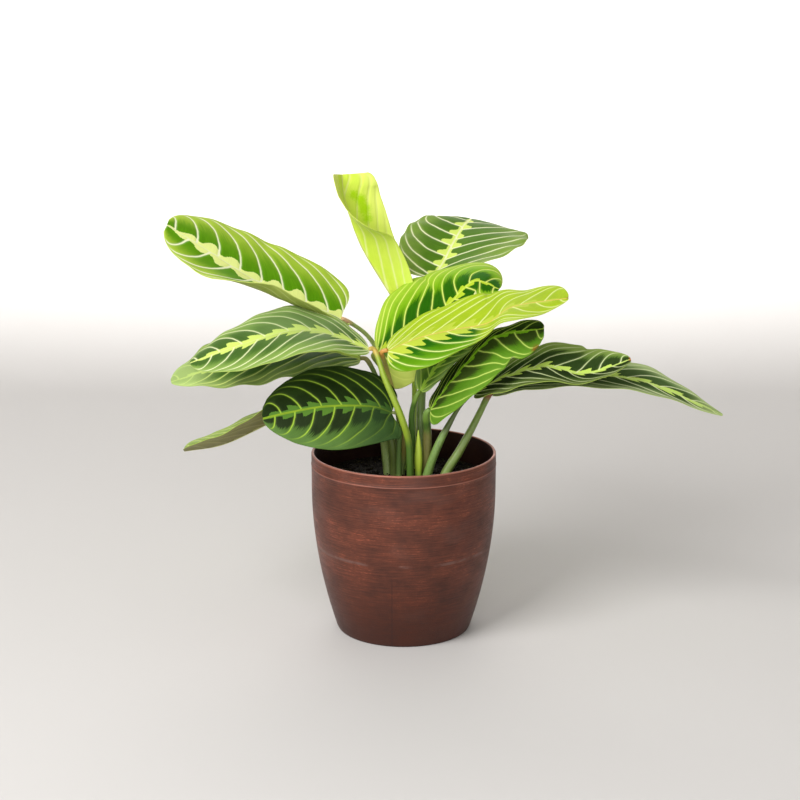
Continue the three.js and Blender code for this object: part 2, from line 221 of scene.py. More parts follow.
dusty = calc(tree, "MULTIPLY", step(tree, grain(tree, 15, (2, 2, 1)), 0.52, 0.72), 0.22)
skin = blend(tree, dusty, skin, colour("6e5048"))
# Painted shade: the wall is darkened towards its foot.
skin = blend(tree, calc(tree, "MULTIPLY", step(tree, height, 66, 4), 0.7), skin, colour("3c1f17"))
# A faint grey seam runs round the swell, and a fine mould line down the front of the foot.
off_seam = calc(tree, "ABSOLUTE", calc(tree, "SUBTRACT", height, 56.5))
seam = calc(tree, "MULTIPLY", step(tree, off_seam, 1.4, 0.3), step(tree, cloud, 0.45, 0.6))
skin = blend(tree, calc(tree, "MULTIPLY", seam, 0.5), skin, colour("77625c"))
off_line = calc(tree, "ABSOLUTE", calc(tree, "MULTIPLY_ADD", spot[0], 1000, 7.2))
low = calc(tree, "MULTIPLY", step(tree, height, 52, 44), step(tree, spot[1], 0, -0.01))
line = calc(tree, "MULTIPLY", calc(tree, "MULTIPLY", step(tree, off_line, 0.7, 0.15), low), 0.35)
skin = blend(tree, line, skin, colour("33201e"))
# The ring and the lip are lighter copper, partly rubbed bright and partly a painted highlight along
# their edges.
off_ring = calc(tree, "ABSOLUTE", calc(tree, "SUBTRACT", height, RING_TOP - RING_HEIGHT / 2))
near_ring = calc(tree, "MULTIPLY", step(tree, off_ring, 0.5, 0.1), 0.6)
lip = calc(tree, "MULTIPLY", step(tree, height, POT_HEIGHT - 1.0, POT_HEIGHT - 0.3), 0.75)
bright = calc(tree, "MAXIMUM", near_ring, lip)
bright = calc(tree, "MULTIPLY", bright, calc(tree, "MULTIPLY_ADD", worn, 0.5, 0.6))
skin = blend(tree, bright, skin, colour("b87866"))
# Inside the wall and under the foot the pot is a plain darker brown, without the copper.
within = calc(tree, "MULTIPLY", step(tree, radius, RIM_RADIUS - 0.8, RIM_RADIUS - 1.5),
              step(tree, height, POT_HEIGHT - 0.1, POT_HEIGHT - 0.9))
within = calc(tree, "MULTIPLY", within, step(tree, height, TAPER_TOP - 5, TAPER_TOP + 1))
hidden = calc(tree, "MAXIMUM", within, step(tree, height, 0.6, 0.1))
inner_brown = blend(tree, streak, colour("26140f"), colour("38201b"))
skin = blend(tree, hidden, skin, inner_brown)
dull = calc(tree, "MULTIPLY_ADD", worn, -0.14, calc(tree, "MULTIPLY_ADD", speck, 0.16, 0.44))
coat(tree, shader, skin, dull)
tree.links.new(calc(tree, "MULTIPLY", worn, 0.45), shader.inputs["Metallic"])
relief(tree, shader, calc(tree, "MULTIPLY_ADD", brush, 0.4, streak), 0.25, 0.5)
in_place("pot_copper_brushed", cup, [copper], "pot")

# Dark peaty potting soil fills the pot to 16 mm below the rim. Its top is lumpy and covered with
# loose crumbs, and it is a little moist, so some of them shine faintly.
SOIL_TOP = POT_HEIGHT - 16
SOIL_CROWN = 2.5
GAP = 0.3
SOIL_FOOT = FLOOR + GAP
CRUMB_HEAPS = 15
CRUMBS_A_HEAP = 100
bed_radius = wall_radius(SOIL_TOP) - WALL - GAP


def lump(x, y):
    """How far the top of the soil rises or sinks at a place, in millimetres."""
    return 1.7 * noise.fractal(Vector((x, y, 7)) * 0.11, 1.0, 2.1, 5)


side = [(wall_radius(z) - WALL - GAP, z) for z in (SOIL_FOOT, 16, 32, 50, 68, 90, 94.5)]
crown = [(bed_radius * s, SOIL_TOP - SOIL_CROWN * s**2) for s in np.linspace(1, 0, 40)]
bed = turned([(0, SOIL_FOOT), *side, *crown], 120)
for vert in bed.verts:
    x, y, z = vert.co
    if z > SOIL_TOP - 3:
        fine = noise.fractal(Vector((x, y, 3)) * 0.6, 1.0, 2.0, 3)
        edge = min(1, (bed_radius - math.hypot(x, y)) / 3)
        vert.co.z += edge * (lump(x, y) + 0.8 * fine - 0.4)
random = np.random.default_rng(7)
for _ in range(CRUMB_HEAPS):
    heap = bmesh.new()
    for _ in range(CRUMBS_A_HEAP):
        reach = bed_radius * 0.97 * math.sqrt(random.random())
        turn = math.tau * random.random()
        x = reach * math.cos(turn)
        y = reach * math.sin(turn)
        top = SOIL_TOP - SOIL_CROWN * (reach / bed_radius) ** 2 + lump(x, y)
        size = 0.35 + 1.5 * random.random() ** 3
        for vert in bmesh.ops.create_icosphere(heap, subdivisions=1, radius=size)["verts"]:
            rough = 0.7 + 0.6 * random.random()
            vert.co = Vector((x, y, top + 0.1)) + Vector((1, 0.75, 0.6)) * vert.co * rough
    crumbs = bpy.data.meshes.new("crumbs")
    heap.to_mesh(crumbs)
    heap.free()
    bed.from_mesh(crumbs)
    bpy.data.meshes.remove(crumbs)

peat, tree, shader = finish_of("peaty soil", 0.9)
shader.inputs["Specular IOR Level"].default_value = 0.2
fibre = grain(tree, 1.4, (1, 1, 1), 6, 0.7)
clod = grain(tree, 7, (1, 1, 1), 3, 0.5)
dark = blend(tree, step(tree, fibre, 0.35, 0.68), colour("0c0907"), colour("261b14"))
dark = blend(tree, step(tree, clod, 0.55, 0.75), dark, colour("1a120d"))
coat(tree, shader, dark, calc(tree, "MULTIPLY_ADD", clod, -0.5, 1.1))
relief(tree, shader, fibre, 0.8)
in_place("soil_bed", bed, [peat], "soil")

# The upper left leaf is a bright green blade, with its near half rolled up along its length. A
# wide cream band with scalloped edges follows its midrib, and thick cream veins arch to its tip.
# It grows from its thin green stalk through a short tan joint. The other leaves grow alike.
ROOTED_TO = 82
JOINT_BEND = 4
JOINT_SWELL = 1.15
STALK_SIDES = 20
STALK_CUTS = 90
BLADE_ROWS = 150
BLADE_COLUMNS = 64
SHEET_THICK = 0.32
RIB_THICK = 1.4


def smooth_run(values, share):
    """Values, or points, on a smooth curve through evenly spaced ones, at shares of its run."""
    given = np.asarray(values, float)
    last = len(given) - 1
    if last == 0:
        return np.repeat(given, len(share), axis=0)
    place = np.clip(share, 0, 1) * last
    first = np.minimum(place.astype(int), last - 1)
    f = place - first
    padded = np.concatenate([[2 * given[0] - given[1]], given, [2 * given[-1] - given[-2]]])
    a, b, c, d = (padded[first + k] for k in range(4))
    f = f[:, None] if given.ndim > 1 else f
    bend = 2 * a - 5 * b + 4 * c - d
    twist = 3 * b - a - 3 * c + d
    return 0.5 * (2 * b + (c - a) * f + bend * f**2 + twist * f**3)


def follow(points, share):
    """The points and directions at shares of the length of a curve, and that length."""
    steps = np.linspace(0, 1, 241)
    walked = smooth_run(points, steps)
    length = np.concatenate([[0], np.cumsum(np.linalg.norm(np.diff(walked, axis=0), axis=1))])
    at = np.interp(share * length[-1], length, steps)
    ahead = smooth_run(points, np.clip(at + 1e-3, 0, 1))
    ahead = ahead - smooth_run(points, np.clip(at - 1e-3, 0, 1))
    return smooth_run(points, at), ahead / np.linalg.norm(ahead, axis=1)[:, None], length[-1]


def as_mesh(name, shape):
    """A bmesh made into a mesh, and the x, y and z of its points."""
    mesh = bpy.data.meshes.new(name)
    shape.to_mesh(mesh)
    shape.free()
    at = np.zeros(len(mesh.vertices) * 3)
    mesh.vertices.foreach_get("co", at)
    return mesh, *at.reshape(-1, 3).T


def save_floats(mesh, **values):
    """Saves a number for each point, under the name that the materials read."""
    for name, numbers in values.items():
        layer = mesh.attributes.new(name, "FLOAT", "POINT")
        layer.data.foreach_set("value", np.asarray(numbers, np.float32))


def new_group(name, inputs, outputs):
    """A node group with those sockets: its tree, its inputs and its output node."""
    group = bpy.data.node_groups.new(name, "ShaderNodeTree")
    for label, value in inputs.items():
        kind = "NodeSocketFloat" if isinstance(value, (int, float)) else "NodeSocketColor"
        group.interface.new_socket(label, in_out="INPUT", socket_type=kind).default_value = value
    for label, kind in outputs.items():
        group.interface.new_socket(label, in_out="OUTPUT", socket_type=kind)
    return group, group.nodes.new("NodeGroupInput").outputs, group.nodes.new("NodeGroupOutput")


def attribute(tree, name):
    """A number that the mesh carries at each point."""
    return add(tree, "Attribute", attribute_name=name).outputs["Fac"]


# The skin of a stalk has lengthwise fibres, and colours of their own for the sheathed foot, for the
# shaft and for the swollen joint under the blade.
stalk_skin, given, out = new_group("stalk skin", {
    "Foot": colour("a9c070"), "Shaft": colour("88a850"), "Joint": colour("b98a5a"),
    "Streak": colour("5d7a34"), "Streaks": 0.4, "Foot End": 0.3, "Joint Start": 0.9,
}, {"Color": "NodeSocketColor", "Height": "NodeSocketFloat", "Roughness": "NodeSocketFloat"})
t = stalk_skin
fibre = grain(t, 0.45, (1, 1, 22), 3, 0.6)
mottle = grain(t, 3, (1, 1, 3), 3, 0.6)
at = attribute(t, "along")
skin = blend(t, step(t, at, calc(t, "SUBTRACT", given["Foot End"], 0.12), given["Foot End"]),
             given["Foot"], given["Shaft"])
streaked = calc(t, "MULTIPLY", step(t, calc(t, "MULTIPLY_ADD", mottle, 0.5, fibre), 0.72, 0.95),
                given["Streaks"])
skin = blend(t, streaked, skin, given["Streak"])
skin = blend(t, step(t, at, given["Joint Start"], calc(t, "ADD", given["Joint Start"], 0.06)),
             skin, given["Joint"])
skin = blend(t, 0.3, skin, fibre, "SOFT_LIGHT")
t.links.new(skin, out.inputs["Color"])
t.links.new(fibre, out.inputs["Height"])
t.links.new(calc(t, "MULTIPLY_ADD", mottle, 0.25, 0.3), out.inputs["Roughness"])


def grow_stalk(name, path, radii, spine=None, foot="a9c070",
               shaft="88a850", top="b98a5a", streak="5d7a34", streaks=0.4, foot_end=0.3):
    """A stalk from its hole in the soil to the base of its blade, or to its own point."""
    way = [[path[0][0], path[0][1], ROOTED_TO], *path]
    if spine:
        base, ahead, _ = follow(spine, np.zeros(1))
        way += [list(base[0] - JOINT_BEND * ahead[0]), list(base[0] + 0.3 * ahead[0])]
    shape = bmesh.new()
    bmesh.ops.create_cone(shape, cap_ends=True, segments=STALK_SIDES, radius1=1, radius2=1, depth=1)
    bmesh.ops.inset_region(shape, faces=[f for f in shape.faces if len(f.verts) > 4], thickness=0.3)
    long_edges = [e for e in shape.edges if abs(e.verts[0].co.z - e.verts[1].co.z) > 0.5]
    bmesh.ops.subdivide_edges(shape, edges=long_edges, cuts=STALK_CUTS, use_grid_fill=True)
    mesh, x, y, z = as_mesh(name, shape)
    share = z + 0.5
    point, ahead, length = follow(way, share)
    side = np.cross((0, -1, 0), ahead)
    side /= np.linalg.norm(side, axis=1)[:, None]
    front = np.cross(side, ahead)
    # A stalk isn't quite round, and swells at the joint under its blade.
    turn = np.arctan2(y, x)
    radius = smooth_run([radii[0], *radii], share)
    radius = radius * (1 + 0.035 * np.cos(5 * turn + 0.7) + 0.02 * np.cos(9 * turn + share * 3))
    if spine:
        from_top = (1 - share) * length
        radius *= 1 + (JOINT_SWELL - 1) * np.exp(-(((from_top - 6) / 4.5) ** 2))
    place = point - (x * radius)[:, None] * side - (y * radius)[:, None] * front
    mesh.vertices.foreach_set("co", (place * 0.001).ravel())
    save_floats(mesh, along=share)
    finish, tree, shader = finish_of(name + " skin", 0.4)
    used = add(tree, "Group", node_tree=stalk_skin)
    values = {"Foot": colour(foot), "Shaft": colour(shaft), "Joint": colour(top),
              "Streak": colour(streak), "Streaks": streaks, "Foot End": foot_end,
              "Joint Start": 1 - 11 / length if spine else 2}
    for key, value in values.items():
        used.inputs[key].default_value = value
    coat(tree, shader, used.outputs["Color"], used.outputs["Roughness"])
    relief(tree, shader, used.outputs["Height"], 0.15, 0.7)
    node = name.replace("petiole_", "stalk_") if spine else "sheath_young"
    in_place(name, mesh, [finish], node)


# The skin of a blade, from values that the mesh carries: how far along and across it a point lies,
# which vein it is near, and how many millimetres part it from the midrib.
leaf_skin, given, out = new_group("leaf skin", {
    "Field": colour("4a8a2c"), "Margin": colour("8abf4a"), "Patch": colour("2a5e1f"),
    "Vein": colour("eef3c0"), "Band": colour("d8ec70"), "Midrib": colour("e8f0a0"),
    "Half": colour("8abf4a"), "Left Share": 0.0, "Right Share": 0.0, "Plain From": 2.0,
    "Fade From": 0.85, "Band Base": 0.0, "Margin Start": 0.3, "Margin Share": 0.8,
    "Vein Start": 0.45, "Vein End": 0.2, "Vein Share": 0.85, "Midrib Width": 0.35,
    "Band Width": 3.0, "Tooth": 0.6, "Tooth Peak": 0.55, "Tooth Drop": 0.12, "Patch Reach": 0.5,
    "Patch Feather": 0.3, "Patch Share": 0.8, "Fine": 0.35,
}, {"Color": "NodeSocketColor", "Height": "NodeSocketFloat", "Roughness": "NodeSocketFloat"})
t = leaf_skin
across = attribute(t, "across")
share = calc(t, "ABSOLUTE", across)
left = step(t, across, 0.01, -0.01)
reach = attribute(t, "reach")
wander = grain(t, 11, detail=2)
phase = calc(t, "ADD", attribute(t, "phase"), calc(t, "MULTIPLY_ADD", wander, 0.16, -0.08))
off_vein = calc(t, "MULTIPLY", calc(t, "PINGPONG", phase, 0.5), attribute(t, "grain"))
past_vein = calc(t, "FRACT", phase)
cell = calc(t, "MULTIPLY_ADD", left, 40, calc(t, "FLOOR", phase))
luck = add(t, "TexWhiteNoise", {"W": cell}, noise_dimensions="1D").outputs["Value"]
ragged = grain(t, 1.6, detail=4, rough=0.65)
between = calc(t, "MULTIPLY", phase, 24)
lines = add(t, "CombineXYZ", {0: between, 1: calc(t, "MULTIPLY", share, 2.5)})
fine = add(t, "TexNoise", {"Vector": lines.outputs[0], "Scale": 1, "Detail": 2}).outputs[0]
broad = grain(t, 9, detail=3)
# Veins taper to the margin.
vein_half = calc(t, "MULTIPLY_ADD", calc(t, "SUBTRACT", given["Vein End"], given["Vein Start"]),
                 share, given["Vein Start"])
past_half = calc(t, "SUBTRACT", off_vein, vein_half)
faded = step(t, share, 1.0, given["Fade From"])
vein = calc(t, "MULTIPLY", step(t, past_half, 0.16, -0.12), faded)
halo = calc(t, "MULTIPLY", step(t, past_half, 1.2, -0.1), faded)
# The band's teeth rise from each vein on its tip side, to a corner where they drop back.
peak = given["Tooth Peak"]
rise = calc(t, "MINIMUM", calc(t, "DIVIDE", calc(t, "ADD", past_vein, 0.12), peak), 1)
fall = step(t, past_vein, calc(t, "ADD", peak, given["Tooth Drop"]), peak)
tooth = calc(t, "MULTIPLY", rise, fall)
tooth = calc(t, "MAXIMUM", tooth, step(t, past_vein, 0.93, 1.0))
teeth = calc(t, "MULTIPLY_ADD", calc(t, "SUBTRACT", tooth, 1), given["Tooth"], 1)
tip = calc(t, "POWER", step(t, attribute(t, "along"), 1.02, 0.7), 0.6)
wide_base = calc(t, "POWER", calc(t, "SUBTRACT", 1, attribute(t, "along")), 3)
wide_base = calc(t, "MULTIPLY_ADD", wide_base, given["Band Base"], given["Band Width"])
band_edge = calc(t, "MULTIPLY", calc(t, "MULTIPLY", wide_base, teeth), tip)
band_edge = calc(t, "MULTIPLY", band_edge, calc(t, "MULTIPLY_ADD", luck, 0.4, 0.8))
band_edge = calc(t, "ADD", band_edge, calc(t, "MULTIPLY_ADD", ragged, 1.4, -0.7))
band_edge = calc(t, "ADD", band_edge, calc(t, "MULTIPLY_ADD", fine, 1.2, -0.6))
band = step(t, calc(t, "SUBTRACT", reach, band_edge), 0.2, -0.2)
# The dark patches lie between the veins, beside the band, and end in feathered strokes.
lobe = calc(t, "POWER", calc(t, "SINE", calc(t, "MULTIPLY", past_vein, math.pi)), 0.5)
limit = calc(t, "MULTIPLY", given["Patch Reach"], calc(t, "MULTIPLY_ADD", luck, 0.5, 0.75))
limit = calc(t, "MULTIPLY", limit, calc(t, "MULTIPLY_ADD", lobe, 0.45, 0.55))
feather = calc(t, "MULTIPLY", calc(t, "SUBTRACT", fine, 0.5), given["Patch Feather"])
limit = calc(t, "ADD", limit, calc(t, "MULTIPLY", feather, 2.5))
soft = calc(t, "MULTIPLY_ADD", given["Patch Feather"], 0.3, 0.01)
patch = step(t, calc(t, "SUBTRACT", share, limit), soft, calc(t, "MULTIPLY", soft, -1))
patch = calc(t, "MULTIPLY", patch, given["Patch Share"])
margin = calc(t, "MULTIPLY", step(t, share, given["Margin Start"], 1.0), given["Margin Share"])
skin = blend(t, margin, given["Field"], given["Margin"])
skin = blend(t, patch, skin, given["Patch"])
plain_by = calc(t, "ADD", given["Plain From"], 0.08)
past = step(t, attribute(t, "along"), given["Plain From"], plain_by)
plain = blend(t, left, given["Right Share"], given["Left Share"])
plain = calc(t, "MAXIMUM", plain, calc(t, "MULTIPLY", past, given["Left Share"]))
skin = blend(t, plain, skin, given["Half"])
skin = blend(t, given["Fine"], skin, fine, "SOFT_LIGHT")
skin = blend(t, 0.25, skin, broad, "SOFT_LIGHT")
skin = blend(t, calc(t, "MULTIPLY", halo, calc(t, "MULTIPLY", given["Vein Share"], 0.15)),
             skin, given["Vein"])
streaky = blend(t, calc(t, "MULTIPLY", fine, 0.22), given["Band"], given["Field"])
skin = blend(t, band, skin, streaky)
skin = blend(t, calc(t, "MULTIPLY", vein, given["Vein Share"]), skin, given["Vein"])
midrib = step(t, calc(t, "SUBTRACT", reach, given["Midrib Width"]), 0.2, -0.1)
skin = blend(t, calc(t, "MULTIPLY", midrib, 0.8), skin, given["Midrib"])
skin = blend(t, calc(t, "MULTIPLY", step(t, share, 0.975, 0.988), 0.45), skin, given["Band"])
t.links.new(skin, out.inputs["Color"])
raised = calc(t, "MULTIPLY_ADD", fine, 0.35, calc(t, "MULTIPLY", halo, -0.8))
t.links.new(raised, out.inputs["Height"])
t.links.new(calc(t, "MULTIPLY_ADD", broad, 0.18, calc(t, "MULTIPLY_ADD", fine, 0.12, 0.3)),
            out.inputs["Roughness"])


def leaf_finish(name, looks, gloss, marks_and_painted_light):
    """One face of a blade. A mark is a place in millimetres, a radius, a colour and a share; marks
    are real blemishes, dry tips and patches, or painted light and shade.
    """
    finish, tree, shader = finish_of(name, 0.4)
    shader.inputs["Specular IOR Level"].default_value = gloss
    used = add(tree, "Group", node_tree=leaf_skin)
    for key, value in looks.items():
        used.inputs[key].default_value = colour(value) if isinstance(value, str) else value
    skin = used.outputs["Color"]
    for centre, size, tint, strength in marks_and_painted_light:
        place = add(tree, "TexCoord").outputs["Object"]
        middle = [c / 1000 for c in centre]
        off = add(tree, "VectorMath", {0: place, 1: middle}, operation="DISTANCE")
        ragged = calc(tree, "MULTIPLY_ADD", grain(tree, 1.2), 0.004, -0.002)
        near = calc(tree, "ADD", off.outputs["Value"], ragged)
        near = calc(tree, "MULTIPLY", step(tree, near, size / 750, size / 3000), strength)
        skin = blend(tree, near, skin, colour(tint))
    coat(tree, shader, skin, used.outputs["Roughness"])
    relief(tree, shader, used.outputs["Height"], 0.3, 0.6)
    return finish


def half_of(across, along, runs):
    """The left or the right run of values, by the half of the blade that each point is in."""
    return np.where(across >= 0, smooth_run(runs[1], along), smooth_run(runs[0], along))


def outline(along, shape):
    """How wide a blade is, as a share of its half width. Shape is how blunt base and tip are."""
    within = (along + 0.0004) / 1.0008
    peak = shape[0] / (shape[0] + shape[1])
    return (within / peak) ** shape[0] * ((1 - within) / (1 - peak)) ** shape[1]


def vein_gap(du, dv, pu, pv):
    """The millimetres between two veins, from the slopes of the surface and of the vein count."""
    e = (du * du).sum(1)
    f = (du * dv).sum(1)
    g = (dv * dv).sum(1)
    slope = (g * pu**2 - 2 * f * pu * pv + e * pv**2) / np.maximum(e * g - f**2, 1e-3)
    return np.clip(1 / np.sqrt(np.maximum(slope, 1e-6)), 0.3, 20)


def thicken(piece, along, reach):
    """Turns the sheet into a thin blade, with a rib under its midrib that fades to the tip."""
    thick = SHEET_THICK + (0.15 + 0.85 * (1 - along)) * np.exp(-(reach**2))
    group = piece.vertex_groups.new(name="thickness")
    group.add(list(range(len(thick))), SHEET_THICK / RIB_THICK, "REPLACE")
    for index in np.flatnonzero(thick > SHEET_THICK + 0.01):
        group.add([int(index)], thick[index] / RIB_THICK, "REPLACE")
    solid = piece.modifiers.new("thickness", "SOLIDIFY")
    solid.thickness = RIB_THICK / 1000
    solid.offset = -1
    solid.vertex_group = "thickness"
    solid.material_offset = 1


def grow_blade(name, spine, half, shape, lobe, roll, fold, curl, wave, top, below,
               face=(0, 0, 1), veins=8, sweep=((0.2, 0.34), (0.2, 0.34)), seen=1, nicks=(),
               marks_and_painted_light=(), gloss=0.06):
    """A blade on its midrib, the spine. Pairs are for its left and its right half, looking to the
    tip, and a list runs from base to tip: half widths, degrees of fold where a half leaves the
    midrib, and degrees of curl more by its margin. Roll turns the whole blade about its midrib,
    lobe hangs its base corners back, sweep slants its veins, and seen is the share of its length
    before its tip is folded away. A nick is a place along it, a half, a depth and a size."""
    flat = bmesh.new()
    bmesh.ops.create_grid(flat, x_segments=BLADE_ROWS, y_segments=BLADE_COLUMNS, size=1)
    mesh, x, y, _ = as_mesh(name, flat)
    # The grid is closer at base and tip, at the midrib and at the margins.
    along = 0.003 + 0.994 * (1 - np.cos(np.pi * (x + 1) / 2)) / 2
    across = -np.sign(y) * (0.5 * np.abs(y) ** 1.3 + 0.5 - 0.5 * (1 - np.abs(y)) ** 1.3) * 0.988

    def surface(u, v):
        """The points that lie u along the blade and v across it."""
        point, ahead, _ = follow(spine, u)
        level = np.cross(ahead, face)
        level /= np.linalg.norm(level, axis=1)[:, None]
        above = np.cross(level, ahead)
        tilt = np.radians(smooth_run(roll, u))[:, None]
        side = level * np.cos(tilt) + above * np.sin(tilt)
        up = above * np.cos(tilt) - level * np.sin(tilt)
        r = np.abs(v)
        span = outline(u, shape)
        width = span * half_of(v, u, half)
        for where, hand, depth, size in nicks:
            cut = depth * np.exp(-(((u - where) / size) ** 2)) * (np.sign(v) == hand)
            width = width * (1 - cut * r**6)
        lift = np.radians(half_of(v, u, fold))
        bend = np.radians(half_of(v, u, curl)) + 1e-5
        turned = lift + bend * r
        out = (np.sin(turned) - np.sin(lift)) / bend
        rise = (np.cos(lift) - np.cos(turned)) / bend
        right = v >= 0
        faded = np.minimum(1, 6 * u) * np.minimum(1, 6 * (1 - u)) * r**3
        ripple = wave * faded * np.sin(2 * np.pi * (5 * u + 0.27 * right))
        back = np.where(right, lobe[1], lobe[0]) * (r * span) ** 1.5 * (1 - u) ** 4
        hand = np.where(right, 1, -1)
        return (point + (hand * (width * out - ripple * np.sin(turned)))[:, None] * side
                + (width * rise + ripple * np.cos(turned))[:, None] * up - back[:, None] * ahead)

    def vein_count(u, v):
        """How many veins leave the midrib before the one through each point."""
        first, later = (np.where(v > 0, sweep[1][k], sweep[0][k]) for k in (0, 1))
        slant = first * np.abs(v) + later * (1 - np.sqrt(1 - 0.95 * np.minimum(v**2, 1)))
        slant = np.minimum(slant, 0.49)
        ahead = u * seen - slant
        root = 2 * ahead / (1 + np.sqrt(np.maximum(1 - 4 * slant * ahead, 0)))
        return veins * root + 0.35 * (v > 0)

    # Slopes are read over a small step.
    h = 1e-3
    here = surface(along, across)
    outward = np.where(across < 0, -h, h)
    du = (surface(along + h, across) - surface(along - h, across)) / (2 * h)
    dv = (surface(along, across + outward) - here) / outward[:, None]
    up = np.cross(dv, du)
    up /= np.linalg.norm(up, axis=1)[:, None] + 1e-9
    phase = vein_count(along, across)
    pu = (vein_count(along + h, across) - vein_count(along - h, across)) / (2 * h)
    pv = (vein_count(along, across + outward) - phase) / outward
    gap = vein_gap(du, dv, pu, pv)
    margin = surface(along, np.sign(across) * 0.999)
    reach = np.linalg.norm(margin - surface(along, across * 0), axis=1) * np.abs(across)
    # The blade is quilted: it sinks along each vein, and most along the midrib near its base.
    off_vein = np.abs(phase - np.round(phase)) * gap
    sunk = 0.22 * np.exp(-((off_vein / 1.3) ** 2)) * np.minimum(1, reach / 4)
    sunk += 0.4 * np.exp(-((reach / 1.1) ** 2)) * (1 - along)
    mesh.vertices.foreach_set("co", ((here - sunk[:, None] * up) * 0.001).ravel())
    save_floats(mesh, along=along, across=across, phase=phase, grain=gap, reach=reach)
    faces = [leaf_finish(name + " top", top, gloss, marks_and_painted_light),
             leaf_finish(name + " underside", below, gloss, marks_and_painted_light)]
    thicken(in_place(name, mesh, faces, name.replace("blade_", "leaf_")), along, reach)


def underside(field, margin, patch, vein, band, **more):
    """The colours of a blade's underside, which is marked more faintly than its top."""
    return {"Field": field, "Margin": margin, "Patch": patch, "Vein": vein, "Band": band,
            "Band Width": 1.6, "Patch Share": 0.3, "Vein Share": 0.6, **more}


spine = [[-39, 34, 191], [-65, 24, 205], [-92, 16, 219], [-122, 9, 240], [-144, 4, 255]]
grow_stalk("petiole_upper_left",
           [[-10, 6.5, 98], [-12, 14, 118], [-13, 25, 140], [-14, 40, 159], [-18, 46, 170],
            [-25, 43, 180]], [2.9, 2.4, 1.5, 1.2], spine, shaft="9cae62", top="c9a27a")
grow_blade(
    "blade_upper_left", spine, half=[[31, 31, 34, 33, 31], [36]], shape=[0.25, 0.4], lobe=[5, 15],
    roll=[52, 48, 46, 42], fold=[[26, 21, 18, 3, -5], [0, 0, 0]],
    curl=[[46, 62, 71, 30, 0], [-5, -10, -20]], wave=0.5,
    veins=8, sweep=((0.25, 0.34), (0.05, 0.46)),
    top={"Field": "6a9c08", "Margin": "bcd44c", "Margin Start": 0.2, "Patch": "4c8a10",
         "Vein": "f2f4cc", "Band": "f4fa9c", "Midrib": "ecf2b0", "Vein Start": 0.62,
         "Vein End": 0.34, "Vein Share": 0.95, "Band Width": 6.2, "Tooth": 0.6, "Tooth Peak": 0.3,
         "Tooth Drop": 0.55, "Patch Reach": 0.5, "Patch Feather": 0.5, "Patch Share": 0.6},
    below=underside("94a04c", "a8b45c", "869444", "cfd68e", "ccd488"))

# The top leaf is the youngest. It stands upright above the rest with its sides still folded
# together, thin and pale lime, with soft veins and two deeper lime patches inside its upper part.
spine = [[4, 66, 182], [-11, 64, 206], [-26, 60, 232], [-34, 56, 253], [-38, 56, 267],
         [-39, 58, 279.5]]
grow_stalk("petiole_top_folded", [[5, 13, 98], [6, 21, 117], [7, 35, 142], [6, 52, 167]],
           [2.0, 1.6, 1.3], spine, shaft="a9c552", top="b9cc6a")
deep_lime = "b0e000"
grow_blade(
    "blade_top_folded", spine, half=[[22, 26, 26, 24, 19.5], [23, 25]], shape=[0.4, 0.12],
    lobe=[0, 0], roll=[0], face=(1, 0, 0),
    marks_and_painted_light=[((-32, 60, 266), 3.6, deep_lime, 0.9), ((-27, 60, 262.5), 4, deep_lime, 0.9),
               ((-24.5, 60, 257), 4.6, deep_lime, 0.9), ((-22.5, 60, 251), 4, deep_lime, 0.9)],
    fold=[[70, 70, 68, 55, 6, -20], [60, 65, 60, 60, 60, 75]],
    curl=[[10, 10, 10, 0, 0], [10]], wave=0, veins=7, seen=0.6,
    sweep=((0.35, 0.2), (0.35, 0.2)),
    top={"Field": "e2f460", "Margin": "eefa80", "Patch": "b8e404", "Vein": "e6ee8c", "Band": "d8e860",
         "Midrib": "e0ea80", "Band Width": 1.4, "Tooth": 0.4, "Patch Reach": 0.5,
         "Patch Feather": 0.2, "Patch Share": 0.25, "Vein Start": 0.6, "Vein Share": 0.7},
    below=underside("d6ec54", "e0f468", "cce444", "eef4a8", "dae870", **{
        "Midrib": "e0ea80", "Band Width": 1.4, "Vein Start": 0.6, "Vein End": 0.3}))

# The back leaf is broad and grey-green, looks up and away, and has a satin bloom. Its band is
# bright lime with long spikes, and its veins are thick and cream.
spine = [[19, 71, 211], [26, 83, 219], [32, 97, 228], [40, 115, 238], [46, 129, 241]]
grow_stalk("petiole_back", [[10, 4, 98], [11, 8, 119], [11, 18, 139], [13, 36, 160], [15, 60, 188]],
           [2.8, 2.4, 1.6, 1.3], spine, shaft="687f40", streaks=0.8)
grow_blade(
    "blade_back", spine, half=[[36], [48, 51, 51]], shape=[0.5, 0.4], lobe=[26, 10], roll=[0],
    fold=[[15, 16, 16], [22, 14, 0]], curl=[[-10, -15, -20], [-10, -20, -20]], wave=0.8,
    veins=6.5, sweep=((0.06, 0.52), (0.2, 0.35)),
    top={"Field": "567a20", "Margin": "86a248", "Patch": "4a7418", "Vein": "f0f2c4", "Band": "dcee70",
         "Midrib": "e8ecb0", "Midrib Width": 0.7, "Vein Start": 0.55, "Vein End": 0.35,
         "Band Width": 7, "Tooth": 0.7, "Tooth Peak": 0.2, "Tooth Drop": 0.4, "Patch Reach": 0.6,
         "Patch Share": 0.6},
    below=underside("8a9a5c", "98a86c", "7c9050", "bcc78e", "b8c888"))
